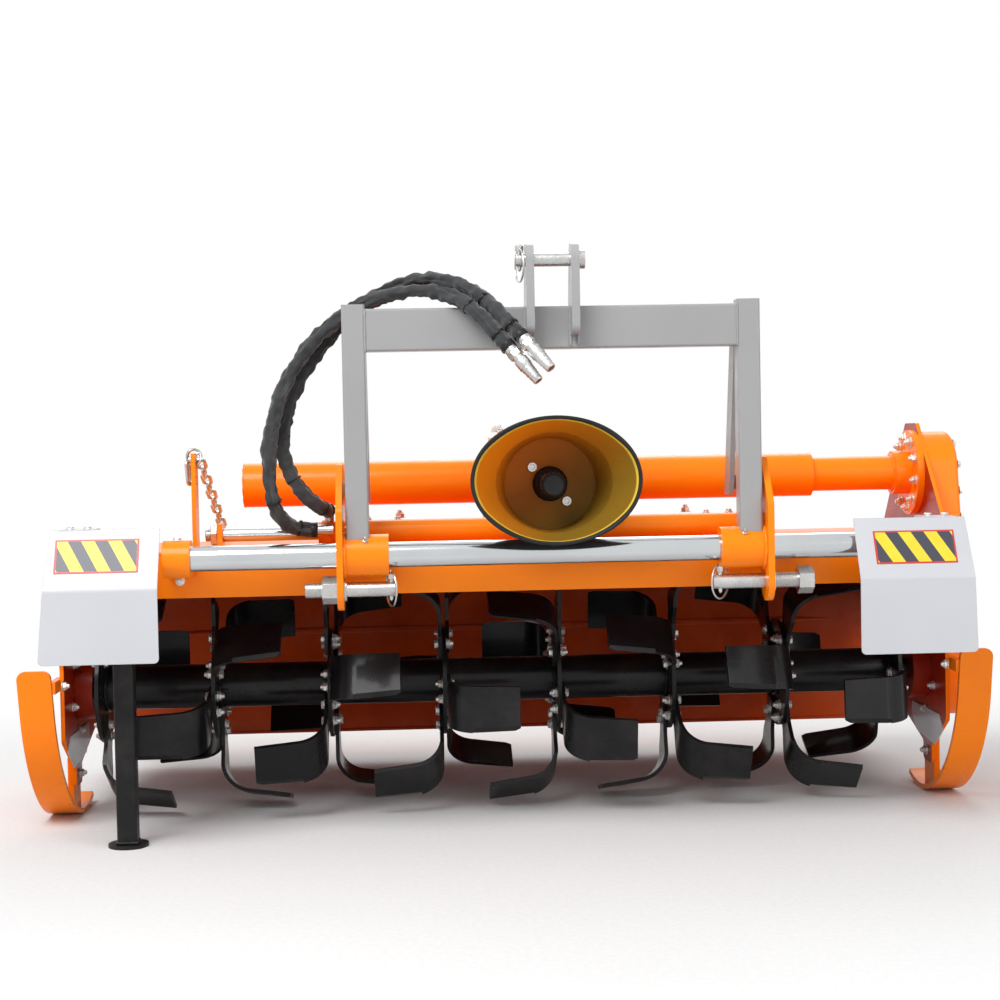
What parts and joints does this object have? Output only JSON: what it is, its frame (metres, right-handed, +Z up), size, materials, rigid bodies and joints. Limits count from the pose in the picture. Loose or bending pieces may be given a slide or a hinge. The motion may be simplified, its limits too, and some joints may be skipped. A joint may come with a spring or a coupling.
{
  "type": "tractor rotary tiller",
  "caption": "Rear-mounted rotary tiller with a side-shifting tractor hitch, a bladed rotor under a curved hood, side skids and a hinged tailboard.",
  "frame": {"origin": "on the ground, under the middle of the box round the tiller without its hoses and their couplings", "axes": "+X to the right in the picture, seen from the tractor, +Y from the tractor towards the tailboard, +Z up"},
  "size_m": [1.9318, 1.0668, 1.116],
  "materials": {
    "orange": "gloss",
    "grey": "gloss",
    "guard_grey": "satin",
    "chrome": "polished",
    "zinc": "satin",
    "black": "gloss",
    "black_plastic": "satin",
    "hose": "matte",
    "tailboard_orange": "satin"
  },
  "bodies": {
    "root": {"bar_end_left": "orange", "bar_end_right": "orange", "bearing_cap_left": "orange", "bearing_shield_left": "guard_grey", "bearing_shield_right": "guard_grey", "chain": "zinc", "chain_post": "orange", "cylinder_rod": "chrome", "fixed_drive_tube": "orange", "guard_bracket_left": "orange", "guard_bracket_right": "orange", "guard_left": "guard_grey", "guard_right": "guard_grey", "guide_bar": "chrome", "hood_shell": "orange", "rod_bracket": "orange", "rotor_bearing_left": "orange", "rotor_bearing_right": "orange", "side_drive_case": "orange", "side_plate_left": "orange", "side_plate_right": "orange", "skid_left": "orange", "skid_right": "orange", "stand_socket": "orange", "tailboard_hinge_rod": "zinc"},
    "rotor": {"rotor": "black"},
    "tailboard": {"tailboard": "tailboard_orange"},
    "stand": {"stand_leg": "black"},
    "pto_shaft": {"input_shaft": "zinc"},
    "hitch": {"hitch_plate_left": "orange", "hitch_plate_right": "orange", "guide_sleeve_left": "orange", "guide_sleeve_right": "orange", "lower_pin_left": "zinc", "lower_pin_right": "zinc", "mast_post_left": "grey", "mast_post_right": "grey", "mast_beam": "grey", "mast_brace_left": "grey", "mast_brace_right": "grey", "top_clevis": "grey", "top_link_pin": "zinc", "gearbox_deck": "orange", "cylinder_barrel": "orange", "gearbox": "orange", "drive_tube_left": "orange", "drive_tube_right": "orange", "shaft_guard": "black_plastic", "hose_low": "hose", "hose_high": "hose", "coupling_low": "zinc", "coupling_high": "zinc", "fitting_low": "zinc", "fitting_high": "zinc"}
  },
  "joints": [
    {"name": "side_shift", "type": "slide", "parent": "root", "child": "hitch", "axis": [1, 0, 0], "range_m": [-0.18, 0.08]},
    {"name": "rotor_spin", "type": "hinge", "parent": "root", "child": "rotor", "pos_m": [0, -0.025, 0.258], "axis": [1, 0, 0], "continuous": true},
    {"name": "pto_spin", "type": "hinge", "parent": "hitch", "child": "pto_shaft", "pos_m": [0.078, -0.35, 0.671], "axis": [0, 1, 0], "continuous": true},
    {"name": "tailboard_swing", "type": "hinge", "parent": "root", "child": "tailboard", "pos_m": [0, 0.344, 0.436], "axis": [1, 0, 0], "range_deg": [0, 50], "deforming": ["chain"]},
    {"name": "stand_slide", "type": "slide", "parent": "root", "child": "stand", "axis": [0, 0, 1], "range_m": [0, 0.2]}
  ],
  "couplings": [
    {"joint": "pto_spin", "follows": "rotor_spin", "ratio": -2.57}
  ]
}
